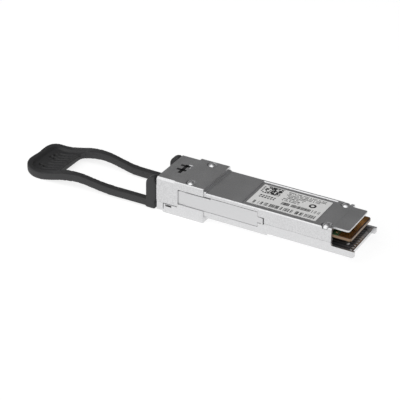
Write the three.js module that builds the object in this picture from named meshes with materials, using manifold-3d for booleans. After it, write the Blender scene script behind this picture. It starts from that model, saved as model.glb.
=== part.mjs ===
// Pluggable fibre-optic transceiver module with a pull-tab latch release, in millimetres.
// X runs from the fibre ports (head front at X = 0) to the electrical card edge.
// Z = 0 is the underside of the slim body, and +Z is the label side.
import * as THREE from 'three';
import { mergeVertices } from 'three/addons/utils/BufferGeometryUtils.js';
import Module from 'manifold-3d';

const wasm = await Module();
wasm.setup();

// ---------------------------------------------------------------- driving dimensions

const gap = 0.1; // running clearance between neighbouring pieces
const both = [-1, 1]; // near side (-Y) and far side (+Y)

const body = { halfWidth: 9.175, height: 8.5, end: 72.4, wallEnd: 64.2, floorEnd: 71 };
body.parting = 3.5;
body.floor = 1.1;
body.edge = 0.3;

const head = { end: 17.9, halfWidth: 9.5, top: 9.95, ceiling: 8.85, ceilingEnd: 17 };
head.front = { end: 8.1, halfWidth: 9.25, top: 9.7, round: 0.7, skirt: 0.5 };
head.plateStart = 7;
head.foot = { end: 18.7, top: 8.85 };
head.block = { start: 2.5, bottom: -2.87, lipBottom: -2.5, lipHalfWidth: 9.15 };

// The latch arm runs in a side channel between the housing's inner wall and the open air.
const arm = { inner: 8.5, outer: 8.95, bottom: 1.65, top: 6.95, start: -3.5, end: 37.9 };
arm.frontTop = 6.6;
arm.rise = 20.5;
arm.joggle = { start: 10.9, end: 11.2, out: 0.15 };
const channel = { inner: 8.4, outer: 9.05, floor: 1.6, roof: 7.2, end: 38 };
const latchTip = { end: 39.9, bottom: 3.15, top: 5.2, flare: 9.3 };
const tipNotch = { end: 40.3, bottom: 3.05, top: 5.5 };
const innerWall = { start: 3.4, end: 41, inner: 7.6, top: 7.1 };
const noseWall = { inner: 8.1, lipTop: 2.35, fillet: 0.7, toe: 0.8 };
const lidCeiling = 7.4;

const bridge = { start: 5.4, end: 8.4, bottom: -2, top: -1.55 };
const springBay = { start: 10.6, end: 17, inner: 4.9, outer: 7.1, floor: -2.1 };
const lug = { inner: 5.1, outer: 6.9, start: 15.55, end: 16, top: 0.25 };
const wallSlot = { front: 9.3, cavityEnd: 9.4 };
const spring = { radius: 0.8, wire: 0.15, turns: 6, y: 6, z: -0.6, start: 10.7, end: 15.45 };

const port = { pitch: 6.25, z: 3.3, half: 2.4, start: 0.3, back: 9.1, end: 9.8 };
port.outer = { halfWidth: 6.7, bottom: -1, top: 8.5 };
port.keyway = { half: 1.6, top: 7.6, end: 7 };
const barrel = { start: 4.9, end: 13.8, radius: 1.4, bore: 0.68 };
barrel.flange = { start: 9.95, end: 10.65, radius: 2.1 };
const clamp = { start: 10.8, end: 11.5, halfWidth: 5.6, bottom: 1.2, top: 8.2 };
const optics = { start: 13.9, bottom: 1.2, top: 5.6, halfWidth: 2.8 };

const board = { bottom: 5, top: 6, start: 28.5, narrowEnd: 41.3, end: 70.6, halfWidth: 8 };
board.narrowHalfWidth = 7.3;
const contact = { count: 19, pitch: 0.8, width: 0.54, thick: 0.06, start: 66.2, end: 70.1 };
const rest = { front: [29.5, 31.5], frontInner: 6.2, rear: [55.5, 57.5], rearInner: 7, rearOuter: 7.9 };
const trayRib = { start: 65, end: 70.4, top: 1.28, pitch: 1.5, count: 9, halfWidth: 0.2 };
const sideSlot = { xs: [3.4, 5.9], zs: [-0.4, 0.25] };
const lipNotch = { xs: [2.4, 2.85], inner: 8.3, bottom: -1.55 };
const peg = { x: 67.8, y: -3.75, radius: 0.65, top: 1.9 };
const roofMark = { depth: 0.45, stem: [4.5, 5.5], stemSpan: [-2.9, 3.1], bars: [3, 6.3] };
roofMark.barSpans = [[-1.1, -0.2], [1.9, 2.7]];

const noseScrew = { x: 61.8, y: 7.45, top: 9, seat: 7.7, head: 1.65, well: 1.95 };
noseScrew.boss = 1.75;
noseScrew.shank = 0.8;
noseScrew.shankEnd = 1.6;
const headScrew = { x: 12.2, y: 7.3, top: 10.45, seat: 9.1, head: 1.6, well: 1.85 };
headScrew.boss = 1.5;
headScrew.shank = 0.65;
headScrew.shankEnd = 2.6;

const label = { start: 32.5, end: 57.4, halfWidth: 6.75, thick: 0.12 };
const labelWell = { start: 31.4, end: 58.6, halfWidth: 8.1, floor: 8.22 };
const tongue = { end: 69.5, halfWidth: 7.4, bottom: 7.8, top: 8.45, corner: 0.7 };

const tab = { thick: 2.4, rear: -0.9, halfWidth: 9.35, openingHalfWidth: 6.9 };
tab.ear = { front: -4.1, bottom: -2.75, top: 9.1, round: 3 };

// ---------------------------------------------------------------- solids

// Turns a closed three.js geometry into a solid that can be cut and joined.
function solid(geometry) {
  const bare = geometry.clone();
  bare.deleteAttribute('normal');
  bare.deleteAttribute('uv');
  const merged = mergeVertices(bare, 1e-4);
  return new wasm.Manifold(new wasm.Mesh({
    numProp: 3,
    vertProperties: new Float32Array(merged.attributes.position.array),
    triVerts: new Uint32Array(merged.index.array),
  }));
}

function block([x0, x1], [y0, y1], [z0, z1]) {
  const box = new THREE.BoxGeometry(x1 - x0, y1 - y0, z1 - z0);
  box.translate((x0 + x1) / 2, (y0 + y1) / 2, (z0 + z1) / 2);
  return solid(box);
}

// A block centred on the module's middle plane.
function slab(xs, halfWidth, zs) {
  return block(xs, [-halfWidth, halfWidth], zs);
}

// A block on one side of the middle plane, between two distances from it.
function sideBlock(side, xs, [inner, outer], zs) {
  return block(xs, side > 0 ? [inner, outer] : [-outer, -inner], zs);
}

function rodX(radius, [x0, x1], y, z, sides = 32) {
  const rod = new THREE.CylinderGeometry(radius, radius, x1 - x0, sides);
  rod.rotateZ(Math.PI / 2);
  rod.translate((x0 + x1) / 2, y, z);
  return solid(rod);
}

function rodZ(radius, [z0, z1], x, y, sides = 32) {
  const rod = new THREE.CylinderGeometry(radius, radius, z1 - z0, sides);
  rod.rotateX(Math.PI / 2);
  rod.translate(x, y, (z0 + z1) / 2);
  return solid(rod);
}

const axisX = new THREE.Vector3(1, 0, 0);
const axisY = new THREE.Vector3(0, 1, 0);
const axisZ = new THREE.Vector3(0, 0, 1);
const outlinePlane = {
  x: new THREE.Matrix4().makeBasis(axisY, axisZ, axisX),
  y: new THREE.Matrix4().makeBasis(axisX, axisZ, axisY.clone().negate()),
  z: new THREE.Matrix4().makeBasis(axisX, axisY, axisZ),
};

// Extrudes an outline along an axis. The outline is in (y, z) for x, (x, z) for y, (x, y) for z.
function prism(outline, axis, ends) {
  const [from, to] = [...ends].sort((a, b) => a - b);
  const shape = outline instanceof THREE.Shape
    ? outline
    : new THREE.Shape(outline.map(([u, v]) => new THREE.Vector2(u, v)));
  const extruded = new THREE.ExtrudeGeometry(
    shape, { depth: to - from, bevelEnabled: false, curveSegments: 8 });
  extruded.translate(0, 0, axis === 'y' ? -to : from);
  extruded.applyMatrix4(outlinePlane[axis]);
  return solid(extruded);
}

function join(...solids) {
  return solids.flat().reduce((sum, next) => sum.add(next));
}

function cut(from, ...tools) {
  return tools.flat().reduce((rest, tool) => rest.subtract(tool), from);
}

// The same feature on the near and the far side.
function pair(make) {
  return both.map(make);
}

// A cross-section with bevelled upper edges, as (y, z) points.
function roofSection(halfWidth, bottom, top, bevel) {
  return [
    [-halfWidth, bottom],
    [halfWidth, bottom],
    [halfWidth, top - bevel],
    [halfWidth - bevel, top],
    [bevel - halfWidth, top],
    [-halfWidth, top - bevel],
  ];
}

// A strip of even thickness along a bent line of (x, z) points.
function strip(points, thickness) {
  const line = points.map(([x, z]) => new THREE.Vector2(x, z));
  const sideOf = (sign) => line.map((point, i) => {
    const before = line[Math.max(i - 1, 0)];
    const after = line[Math.min(i + 1, line.length - 1)];
    const along = after.clone().sub(before).normalize();
    return [point.x - sign * along.y * thickness / 2, point.y + sign * along.x * thickness / 2];
  });
  return [...sideOf(-1), ...sideOf(1).reverse()];
}

// ---------------------------------------------------------------- assembly

const transceiver = new THREE.Group();

function piece(name, shape, color, roughness, metalness) {
  const data = shape.getMesh();
  const geometry = new THREE.BufferGeometry();
  geometry.setAttribute('position', new THREE.BufferAttribute(data.vertProperties, 3));
  geometry.setIndex(new THREE.BufferAttribute(data.triVerts, 1));
  geometry.computeVertexNormals();
  const mesh = new THREE.Mesh(geometry, new THREE.MeshStandardMaterial({ color, roughness, metalness }));
  mesh.name = name;
  transceiver.add(mesh);
}

// ---------------------------------------------------------------- bottom housing

// The side wall's profile: slim body, rounded drop to the card-edge cradle, rounded toe.
function sideProfile() {
  const { wallEnd, end, parting } = body;
  const { lipTop, fillet, toe } = noseWall;
  const seam = parting - gap / 2;
  const profile = new THREE.Shape();
  profile.moveTo(head.end - 1, 0);
  profile.lineTo(end - toe, 0);
  profile.absarc(end - toe, toe, toe, -Math.PI / 2, 0, false);
  profile.lineTo(end, lipTop);
  profile.lineTo(wallEnd + fillet, lipTop);
  profile.absarc(wallEnd + fillet, lipTop + fillet, fillet, -Math.PI / 2, -Math.PI, true);
  profile.lineTo(wallEnd, seam);
  profile.lineTo(channel.end, seam);
  profile.lineTo(channel.end, channel.floor);
  profile.lineTo(head.end - 1, channel.floor);
  return profile;
}

// The clearance that the latch tips spring out into.
function tipNotches() {
  return pair((side) => sideBlock(
    side, [channel.end - 1, tipNotch.end], [channel.inner, head.halfWidth], [tipNotch.bottom, tipNotch.top]));
}

// Die-cast tray: slim body, deeper head block, low card-edge cradle.
function bottomHousing() {
  const { block: lump, front } = head;
  const seam = body.parting - gap / 2;
  const capSeam = front.skirt - gap;
  const lip = slab([0, lump.start + gap], lump.lipHalfWidth, [lump.lipBottom, capSeam]);
  const frontLump = slab([lump.start, front.end], head.halfWidth, [lump.bottom, capSeam]);
  const rearLump = slab([front.end, head.end], head.halfWidth, [lump.bottom, channel.floor]);
  const floor = slab([head.end - 1, body.floorEnd], body.halfWidth, [0, body.floor]);
  const outerWalls = pair((side) => prism(sideProfile(), 'y', [side * channel.inner, side * body.halfWidth]));
  const thickWalls = pair((side) => sideBlock(
    side, [tipNotch.end, body.wallEnd], [noseWall.inner, channel.inner + gap], [0, seam]));
  const shell = join(lip, frontLump, rearLump, floor, outerWalls, thickWalls);

  const portRoom = port.outer.bottom - gap;
  const armSlot = [channel.inner, channel.outer];
  const hollows = [
    slab([-1, port.end + gap * 2], port.outer.halfWidth + gap, [portRoom, head.top]),
    slab([lump.start + gap, wallSlot.cavityEnd], channel.outer, [springBay.floor, portRoom]),
    slab([port.end, head.end + gap], innerWall.inner, [body.floor, head.top]),
    ...pair((side) => sideBlock(
      side, [lump.start + gap, wallSlot.cavityEnd], armSlot, [springBay.floor, head.top])),
    ...pair((side) => sideBlock(
      side, [wallSlot.front, head.end], [channel.inner, head.halfWidth + 1], [channel.floor, head.top])),
  ];

  const innerWalls = pair((side) => sideBlock(
    side, [innerWall.start, innerWall.end], [innerWall.inner, channel.inner], [portRoom, innerWall.top]));
  const wallTrims = [
    slab([tipNotch.end, innerWall.end + 1], head.halfWidth, [seam, head.top]),
    slab([0, wallSlot.cavityEnd], channel.inner + gap, [head.block.bottom, portRoom]),
  ];

  const bossLimit = join(
    slab([0, head.end + 2], channel.inner, [head.block.bottom, innerWall.top]),
    slab([head.end + 2, body.end], body.halfWidth, [0, innerWall.top]));
  const bosses = pair((side) => join(
    rodZ(headScrew.boss, [0, innerWall.top], headScrew.x, side * headScrew.y),
    rodZ(noseScrew.boss, [0, seam], noseScrew.x, side * noseScrew.y)).intersect(bossLimit));
  const boardRests = pair((side) => join(
    sideBlock(side, rest.front, [rest.frontInner, innerWall.inner + gap], [0, board.bottom - gap]),
    sideBlock(side, rest.rear, [rest.rearInner, noseWall.inner + gap], [0, seam]),
    sideBlock(side, rest.rear, [rest.rearInner, rest.rearOuter], [0, board.bottom - gap])));
  const ribs = Array.from({ length: trayRib.count }, (_, i) => {
    const y = (i - (trayRib.count - 1) / 2) * trayRib.pitch;
    return block(
      [trayRib.start, trayRib.end], [y - trayRib.halfWidth, y + trayRib.halfWidth],
      [body.floor - gap, trayRib.top]);
  });
  const trayPeg = rodZ(peg.radius, [body.floor - gap, peg.top], peg.x, peg.y);
  const solidHousing = join(
    cut(shell, hollows), cut(join(innerWalls), wallTrims), bosses, boardRests, ribs, trayPeg);

  const bayWidth = [springBay.inner, springBay.outer];
  const lugSlotTop = -1.4;
  const pockets = pair((side) => join(
    sideBlock(side, [springBay.start, springBay.end], bayWidth, [springBay.floor, body.floor + gap]),
    sideBlock(side, [wallSlot.front, springBay.start + gap], bayWidth, [springBay.floor, lugSlotTop])));
  const threads = pair((side) => join(
    rodZ(headScrew.shank + 0.1, [headScrew.shankEnd - 0.3, head.top], headScrew.x, side * headScrew.y),
    rodZ(noseScrew.shank + 0.1, [noseScrew.shankEnd - 0.3, head.top], noseScrew.x, side * noseScrew.y)));
  const faceCuts = pair((side) => join(
    sideBlock(side, sideSlot.xs, [channel.outer - gap, head.halfWidth + 1], sideSlot.zs),
    sideBlock(side, lipNotch.xs, [lipNotch.inner, head.halfWidth + 1], [lipNotch.bottom, front.skirt])));
  return cut(solidHousing, pockets, threads, faceCuts, tipNotches());
}

piece('bottom_housing', bottomHousing(), 0xd2d3d5, 0.42, 0.85);

// ---------------------------------------------------------------- top cover

// Die-cast lid: raised head roof, label well, side flanges over the latch arms and a card-edge tongue.
function topCover() {
  const { front, foot } = head;
  const frontCap = prism(
    roofSection(front.halfWidth, front.skirt, front.top, front.round), 'x', [0, front.end]);
  const roof = prism(
    roofSection(head.halfWidth, channel.roof, head.top, 0.25), 'x', [head.plateStart, head.end]);
  const stepFoot = prism(
    roofSection(body.halfWidth, channel.roof, foot.top, body.edge), 'x', [head.end - gap, foot.end]);
  const lid = prism(
    roofSection(body.halfWidth, channel.roof, body.height, body.edge), 'x', [head.end - gap, body.wallEnd]);
  const walls = pair((side) => sideBlock(
    side, [channel.end, body.wallEnd], [noseWall.inner, body.halfWidth], [body.parting, channel.roof + gap]));

  const portRoom = port.outer.halfWidth + gap;
  const gasketRoom = { start: 2.2, end: 3.1, halfWidth: 8.25 };
  const behindGasket = gasketRoom.end - gap;
  const under = -1;
  const hollows = [
    slab([-1, gasketRoom.start], portRoom, [under, port.outer.top + gap]),
    slab([gasketRoom.start - gap, gasketRoom.end], gasketRoom.halfWidth, [under, head.ceiling]),
    ...pair((side) => sideBlock(
      side, [-1, front.end], [channel.inner, channel.outer], [under, channel.roof])),
    slab([behindGasket, head.plateStart + 2], channel.outer, [under, channel.roof]),
    slab([behindGasket, head.ceilingEnd], innerWall.inner, [under, head.ceiling]),
    slab([head.ceilingEnd - gap, body.wallEnd + 1], innerWall.inner, [under, lidCeiling]),
    slab([innerWall.end + gap * 2, body.wallEnd + 1], noseWall.inner, [under, lidCeiling]),
    slab([channel.end, innerWall.end + gap * 2], channel.inner + gap, [under, innerWall.top + gap]),
  ];
  const skin = cut(join(frontCap, roof, stepFoot, lid, walls), hollows);

  const { corner, halfWidth: lipHalf } = tongue;
  const lipPlan = new THREE.Shape();
  lipPlan.moveTo(body.wallEnd - 1, -lipHalf);
  lipPlan.lineTo(tongue.end - corner, -lipHalf);
  lipPlan.absarc(tongue.end - corner, corner - lipHalf, corner, -Math.PI / 2, 0, false);
  lipPlan.lineTo(tongue.end, lipHalf - corner);
  lipPlan.absarc(tongue.end - corner, lipHalf - corner, corner, 0, Math.PI / 2, false);
  lipPlan.lineTo(body.wallEnd - 1, lipHalf);
  const lip = prism(lipPlan, 'z', [tongue.bottom, tongue.top]);
  const posts = pair((side) => join(
    rodZ(headScrew.boss, [channel.roof, head.top - 0.5], headScrew.x, side * headScrew.y),
    rodZ(noseScrew.boss, [body.parting, body.height - 0.5], noseScrew.x, side * noseScrew.y)));
  const boardHolders = pair((side) => sideBlock(
    side, rest.front, [rest.frontInner, innerWall.inner], [board.top + gap, lidCeiling + gap]));
  const shell = join(skin, lip, posts, boardHolders);

  const wells = pair((side) => join(
    rodZ(headScrew.well, [headScrew.seat, head.top + 1], headScrew.x, side * headScrew.y),
    rodZ(headScrew.shank + 0.25, [0, head.top], headScrew.x, side * headScrew.y),
    rodZ(noseScrew.well, [noseScrew.seat, body.height + 1], noseScrew.x, side * noseScrew.y),
    rodZ(noseScrew.shank + 0.15, [0, body.height], noseScrew.x, side * noseScrew.y)));
  const { floor: wellFloor, halfWidth: wellHalf } = labelWell;
  const wellDepth = body.height - wellFloor;
  const labelRoom = prism([
    [-wellHalf, wellFloor], [wellHalf, wellFloor],
    [wellHalf + 2 * wellDepth, wellFloor + 2 * wellDepth],
    [-wellHalf - 2 * wellDepth, wellFloor + 2 * wellDepth],
  ], 'x', [labelWell.start, labelWell.end]);
  const markDepths = [front.top - roofMark.depth, head.top];
  const mark = join(
    block(roofMark.stem, roofMark.stemSpan, markDepths),
    roofMark.barSpans.map((span) => block(roofMark.bars, span, markDepths)));
  return cut(shell, wells, labelRoom, mark, tipNotches());
}

piece('top_cover', topCover(), 0x6c6c6e, 0.45, 0.8);

piece('label', slab([label.start, label.end], label.halfWidth,
  [labelWell.floor + 0.02, labelWell.floor + label.thick]), 0xe2e2e2, 0.6, 0);

// ---------------------------------------------------------------- fibre ports and optics

function portReceptacle() {
  const { outer, keyway } = port;
  const shell = slab([port.start, port.end], outer.halfWidth, [outer.bottom, outer.top]);
  const sockets = pair((side) => {
    const y = side * port.pitch / 2;
    return join(
      block([0, port.back], [y - port.half, y + port.half], [port.z - port.half, port.z + port.half]),
      block([0, keyway.end], [y - keyway.half, y + keyway.half], [port.z, keyway.top]),
      rodX(barrel.radius + gap, [port.back - 1, port.end + 1], y, port.z));
  });
  return cut(shell, sockets);
}

piece('port_receptacle', portReceptacle(), 0x26272a, 0.6, 0);

const gasketSection = cut(
  slab([2.25, 2.95], 8.1, [0.6, head.ceiling - gap]),
  slab([2, 3.2], port.outer.halfWidth + 0.15, [0, port.outer.top + 0.05]));
piece('receptacle_gasket', gasketSection, 0x55565a, 0.8, 0.2);

const channels = [
  { name: 'transmit', side: -1, length: 12.6, color: 0xb9a06a },
  { name: 'receive', side: 1, length: 9.6, color: 0xc8cacd },
];

for (const { name, side, length, color } of channels) {
  const y = side * port.pitch / 2;
  const { flange } = barrel;
  const sleeve = join(
    rodX(barrel.radius, [barrel.start, barrel.end], y, port.z),
    rodX(flange.radius, [flange.start, flange.end], y, port.z));
  piece(`${name}_barrel`, cut(sleeve, rodX(barrel.bore, [0, barrel.end + 1], y, port.z)), 0xc9cbce, 0.3, 0.9);
  piece(`${name}_stub`, rodX(barrel.bore - 0.05, [9, barrel.end - 0.2], y, port.z, 24), 0xf1efe8, 0.3, 0);
  const rear = optics.start + length;
  const can = cut(
    block([optics.start, rear], [y - optics.halfWidth, y + optics.halfWidth], [optics.bottom, optics.top]),
    pair((edge) => {
      const [near, far] = [y + edge * 2.4, y + edge * 3.4].sort((a, b) => a - b);
      return block([optics.start - 1, optics.start + 2.2], [near, far], [0, optics.top + 1]);
    }));
  piece(`${name}_subassembly`, can, color, 0.35, 0.8);
  const boardFace = board.top + gap;
  const bend = 1.1;
  const turn = [0, 1, 2, 3, 4].map((i) => {
    const angle = Math.PI - i * Math.PI / 8;
    return [rear + 0.15 + bend + bend * Math.cos(angle), boardFace + 0.08 - bend + bend * Math.sin(angle)];
  });
  const path = [[rear + 0.15, 1.5], ...turn, [board.start + 3, boardFace + 0.08]];
  piece(`${name}_flex`, prism(strip(path, 0.15), 'y', [y - 2.2, y + 2.2]), 0xb06a2a, 0.5, 0);
}

const clampBore = barrel.radius + 0.1;
piece('barrel_clamp', cut(
  slab([clamp.start, clamp.end], clamp.halfWidth, [clamp.bottom, clamp.top]),
  pair((side) => join(
    rodX(clampBore, [clamp.start - 1, clamp.end + 1], side * port.pitch / 2, port.z),
    block([clamp.start - 1, clamp.end + 1],
      [side * port.pitch / 2 - clampBore, side * port.pitch / 2 + clampBore], [0, port.z])))),
0xa9abae, 0.4, 0.9);

// ---------------------------------------------------------------- circuit board and what it carries

function circuitBoard() {
  const { start, narrowEnd, narrowHalfWidth, end, halfWidth } = board;
  const bevel = 0.6;
  const half = [[start, narrowHalfWidth], [narrowEnd, narrowHalfWidth], [narrowEnd, halfWidth],
    [end - bevel, halfWidth], [end, halfWidth - bevel]];
  const outline = [...half.map(([x, y]) => [x, -y]), ...half.reverse()];
  const plate = prism(outline, 'z', [board.bottom, board.top]);
  const notchRadius = noseScrew.boss + 0.3;
  const notches = pair((side) => rodZ(notchRadius, [0, head.top], noseScrew.x, side * noseScrew.y));
  return cut(plate, notches);
}

piece('circuit_board', circuitBoard(), 0x2f5b3a, 0.55, 0);

// A row of card-edge fingers on one plating bar.
function contactRow(bottom) {
  const { count, pitch, width, thick, start, end } = contact;
  const zs = [bottom, bottom + thick];
  const bar = slab([start - 0.3, start], (count - 1) * pitch / 2 + width / 2, zs);
  const fingers = Array.from({ length: count }, (_, i) => {
    const y = (i - (count - 1) / 2) * pitch;
    return block([start - 0.1, end], [y - width / 2, y + width / 2], zs);
  });
  return join(bar, fingers);
}

const plateGap = 0.02;
piece('top_contacts', contactRow(board.top + plateGap), 0xc79a45, 0.3, 1);
piece('bottom_contacts', contactRow(board.bottom - plateGap - contact.thick), 0xc79a45, 0.3, 1);

const onBoard = board.top + 0.05;
const underBoard = board.bottom - 0.05;
const components = [
  { name: 'retimer_chip', x: 46, y: 0, size: [8, 8], zs: [onBoard, 6.95], color: 0x1f2023 },
  { name: 'laser_driver', x: 35.5, y: -3.1, size: [4, 4], zs: [onBoard, 6.9], color: 0x222326 },
  { name: 'receiver_amplifier', x: 35.5, y: 3.1, size: [4, 4], zs: [onBoard, 6.9], color: 0x222326 },
  { name: 'microcontroller', x: 38, y: 0, size: [5, 5], zs: [4.05, underBoard], color: 0x1d1e20 },
  { name: 'transmit_inductor', x: 48, y: -3, size: [3, 3], zs: [3.3, underBoard], color: 0x4a4c50 },
  { name: 'receive_inductor', x: 48, y: 3, size: [3, 3], zs: [3.3, underBoard], color: 0x4a4c50 },
];
for (const { name, x, y, size: [long, wide], zs, color } of components) {
  piece(name, block([x - long / 2, x + long / 2], [y - wide / 2, y + wide / 2], zs), color, 0.6, 0);
}

const padTop = lidCeiling - 0.05;
piece('retimer_pad', slab([42.5, 49.5], 3.5, [7, padTop]), 0x9db4c4, 0.9, 0);
piece('optics_pad', slab([18.6, 23.2], 5.6, [optics.top + 0.05, padTop]), 0x9db4c4, 0.9, 0);

// ---------------------------------------------------------------- latch release

// Folded steel strip: two latch arms that step out flush behind the head cap, a cross bridge under
// the ports and two spring lugs.
function releaseSlider() {
  const armOutline = [
    [arm.start, 1], [bridge.start, 1], [bridge.start, bridge.bottom], [bridge.end, bridge.bottom],
    [bridge.end, arm.bottom], [arm.end, arm.bottom], [arm.end, latchTip.bottom],
    [latchTip.end, latchTip.bottom], [latchTip.end, latchTip.top], [arm.end, latchTip.top],
    [arm.end, arm.top], [arm.rise, arm.top], [arm.rise, arm.frontTop], [arm.start, arm.frontTop],
  ];
  const { joggle } = arm;
  const tall = [bridge.bottom - 1, arm.top + 1];
  const frontRoom = slab([arm.start - 1, joggle.end], arm.outer + 1, tall);
  const rearRoom = slab([joggle.start, latchTip.end + 1], arm.outer + 1, tall);
  const root = (arm.inner + arm.outer) / 2 + joggle.out;
  const flare = [[latchTip.end - 1.5, root], [latchTip.end, root],
    [latchTip.end, latchTip.flare], [latchTip.end - 0.4, latchTip.flare]];
  const arms = pair((side) => join(
    prism(armOutline, 'y', [side * arm.inner, side * arm.outer]).intersect(frontRoom),
    prism(armOutline, 'y', [side * (arm.inner + joggle.out), side * (arm.outer + joggle.out)])
      .intersect(rearRoom),
    prism(flare.map(([x, y]) => [x, side * y]), 'z', [latchTip.bottom, latchTip.top]),
    sideBlock(side, [bridge.end - gap, lug.end], [lug.inner, lug.outer], [bridge.bottom, bridge.top]),
    sideBlock(side, [lug.start, lug.end], [lug.inner, lug.outer], [bridge.bottom, lug.top])));
  return join(arms, slab([bridge.start, bridge.end], arm.outer, [bridge.bottom, bridge.top]));
}

piece('release_slider', releaseSlider(), 0xc3c5c8, 0.3, 0.95);

class SpringCurve extends THREE.Curve {
  constructor(y) {
    super();
    this.y = y;
  }

  getPoint(t, target = new THREE.Vector3()) {
    const angle = t * spring.turns * 2 * Math.PI;
    const reach = spring.radius - spring.wire;
    const x = THREE.MathUtils.lerp(spring.start + spring.wire, spring.end - spring.wire, t);
    return target.set(x, this.y + reach * Math.cos(angle), spring.z + reach * Math.sin(angle));
  }
}

function returnSpring(side) {
  const section = new THREE.Shape();
  section.absarc(0, 0, spring.wire, 0, 2 * Math.PI, false);
  const coil = new THREE.ExtrudeGeometry(section, {
    steps: spring.turns * 14,
    curveSegments: 3,
    extrudePath: new SpringCurve(side * spring.y),
  });
  return solid(coil);
}

piece('near_return_spring', returnSpring(-1), 0xb8babd, 0.3, 0.95);
piece('far_return_spring', returnSpring(1), 0xb8babd, 0.3, 0.95);

// ---------------------------------------------------------------- pull tab

const tabTop = [
  [4, 0.1], [-6, 0.1], [-16, 0.1], [-20, 0.3], [-24, 0.9], [-28, 1.6], [-31, 1.9], [-34, 1.8],
  [-38, 1.25], [-42, 0.25], [-46, -0.55], [-49, -0.6], [-52, 0.1], [-56, 1.2],
];
const tabOuter = [
  [tab.rear, tab.halfWidth], [-10, 9.4], [-18, 9.5], [-24, 9.8], [-30, 10.25], [-36, 10.85],
  [-41, 11.2], [-45, 11.1], [-48.5, 10.75], [-51, 10], [-52.6, 8.75], [-53.5, 7], [-53.95, 5],
  [-53.85, 2.5], [-53.75, 0],
];
const tabOpening = [
  [4, 6.9], [-10, 6.9], [-18, 6.95], [-24, 7.5], [-30, 7.75], [-35, 7.65], [-38.3, 7.3], [-39.9, 7],
  [-40.5, 6.4], [-40.65, 5], [-40.65, 2], [-40.65, 0],
];
const gripWell = { start: -52, end: -39, halfWidth: 8.7, corner: 3.2, depth: 0.5 };

function smooth(points, divisions) {
  const curve = new THREE.SplineCurve(points.map(([u, v]) => new THREE.Vector2(u, v)));
  return curve.getPoints(divisions).map(({ x, y }) => [x, y]);
}

// A closed plan outline from its far half, mirrored in the middle plane.
function mirrored(half) {
  const near = half.map(([x, y]) => [x, -y]).reverse();
  return [...half, ...near.slice(1)];
}

// The tab's curved sheet, from one depth below its top face to another.
function tabSheet(upper, lower, halfWidth) {
  const top = smooth(tabTop, 64);
  const lowered = (depth) => top.map(([x, z]) => [x, z - depth]);
  const outline = [...lowered(upper), ...lowered(lower).reverse()];
  return prism(outline, 'y', [-halfWidth, halfWidth]);
}

function roundedPlan({ start, end, halfWidth, corner }) {
  const plan = new THREE.Shape();
  plan.moveTo(start + corner, -halfWidth);
  plan.lineTo(end, -halfWidth);
  plan.lineTo(end, halfWidth);
  plan.lineTo(start + corner, halfWidth);
  plan.absarc(start + corner, halfWidth - corner, corner, Math.PI / 2, Math.PI, false);
  plan.lineTo(start, corner - halfWidth);
  plan.absarc(start + corner, corner - halfWidth, corner, Math.PI, Math.PI * 1.5, false);
  return plan;
}

function pullTab() {
  const { ear } = tab;
  const reach = 14;
  const plan = prism(mirrored(smooth(tabOuter, 72)), 'z', [-reach, reach]);
  const opening = prism(mirrored(smooth(tabOpening, 48)), 'z', [-reach, reach]);
  const sheet = tabSheet(0, tab.thick, reach).intersect(cut(plan, opening));
  const grip = prism(roundedPlan(gripWell), 'z', [-reach, reach]);
  const well = tabSheet(-2, gripWell.depth, reach).intersect(grip);
  const earOutline = new THREE.Shape();
  earOutline.moveTo(ear.front, ear.bottom);
  earOutline.lineTo(tab.rear, ear.bottom);
  earOutline.lineTo(tab.rear, ear.top);
  earOutline.lineTo(ear.front + ear.round, ear.top);
  earOutline.absarc(ear.front + ear.round, ear.top - ear.round, ear.round, Math.PI / 2, Math.PI, false);
  const ears = pair((side) => prism(
    earOutline, 'y', [side * tab.openingHalfWidth, side * tab.halfWidth]));
  const slots = pair((side) => sideBlock(
    side, [arm.start - gap, 1], [channel.inner, channel.outer], [0.8, arm.top + 0.2]));
  return cut(join(sheet, ears), well, slots);
}

piece('pull_tab', pullTab(), 0x4a4b4d, 0.6, 0);

// ---------------------------------------------------------------- screws

// Pan-head screw: a shallow dome with a cross recess on a straight shank.
function screw({ x, y, top, seat, head: radius, shank, shankEnd }, side) {
  const rise = top - seat;
  const profile = [[0, 0], [radius, 0], [radius, rise * 0.35], [radius * 0.88, rise * 0.68],
    [radius * 0.62, rise * 0.9], [radius * 0.3, rise], [0, rise]];
  const dome = new THREE.LatheGeometry(profile.map(([r, z]) => new THREE.Vector2(r, z)), 32);
  dome.rotateX(Math.PI / 2);
  dome.translate(x, side * y, seat);
  const driveDepth = rise * 0.6;
  const bar = [radius * 0.55, radius * 0.16];
  const recess = [bar, [...bar].reverse()].map(([long, wide]) => block(
    [x - long, x + long], [side * y - wide, side * y + wide], [top - driveDepth, top + 1]));
  return join(cut(solid(dome), recess), rodZ(shank, [shankEnd, seat + 0.1], x, side * y, 20));
}

const screws = [
  { name: 'near_head_screw', spec: headScrew, side: -1 },
  { name: 'far_head_screw', spec: headScrew, side: 1 },
  { name: 'near_nose_screw', spec: noseScrew, side: -1 },
  { name: 'far_nose_screw', spec: noseScrew, side: 1 },
];
for (const { name, spec, side } of screws) {
  piece(name, screw({ ...spec, seat: spec.seat + 0.05 }, side), 0xd9dadc, 0.25, 0.95);
}

// The origin is under the middle of the whole module, on the plane that it rests on.
const extent = new THREE.Box3().setFromObject(transceiver);
const middle = extent.getCenter(new THREE.Vector3());
transceiver.position.set(-middle.x, -middle.y, -extent.min.z);

export default transceiver;
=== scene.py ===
"""A pluggable fibre-optic transceiver with a pull-tab latch release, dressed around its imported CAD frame."""
import math

import bmesh
import bpy
from mathutils import Matrix, Vector


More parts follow.
